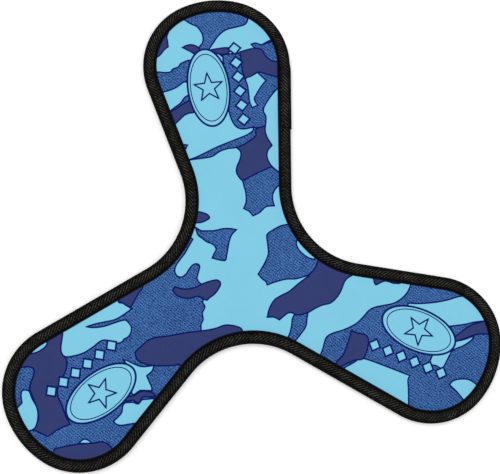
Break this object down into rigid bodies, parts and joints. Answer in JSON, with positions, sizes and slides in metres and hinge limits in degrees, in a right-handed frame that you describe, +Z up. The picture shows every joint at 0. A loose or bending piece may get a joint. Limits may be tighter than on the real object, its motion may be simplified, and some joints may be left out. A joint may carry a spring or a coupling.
{
  "type": "boomerang",
  "caption": "Soft flat boomerang with rounded arms set like a pinwheel: padded foam laminate under printed jersey, with woven tape folded and sewn round its edge.",
  "frame": {"origin": "hub centre, where the lines of the arms come nearest each other, on the rear face that the boomerang lies on", "axes": "+Z up out of the front face, +Y along one arm towards its tip, +X to the right seen from the front"},
  "size_m": [0.2994, 0.2708, 0.008],
  "materials": {
    "foam_core": "closed-cell foam, pale grey",
    "neoprene_sponge": "closed-cell sponge, black",
    "printed_jersey": "knitted polyester with a printed camouflage pattern in blues",
    "woven_tape": "black ribbed woven tape",
    "sewing_thread": "black twisted polyester thread"
  },
  "bodies": {
    "root": {"core_sheet": "foam_core", "front_sponge": "neoprene_sponge", "rear_sponge": "neoprene_sponge", "front_jersey": "printed_jersey", "rear_jersey": "printed_jersey", "edge_binding": "woven_tape", "needle_thread": "sewing_thread", "bobbin_thread": "sewing_thread"}
  },
  "joints": []
}
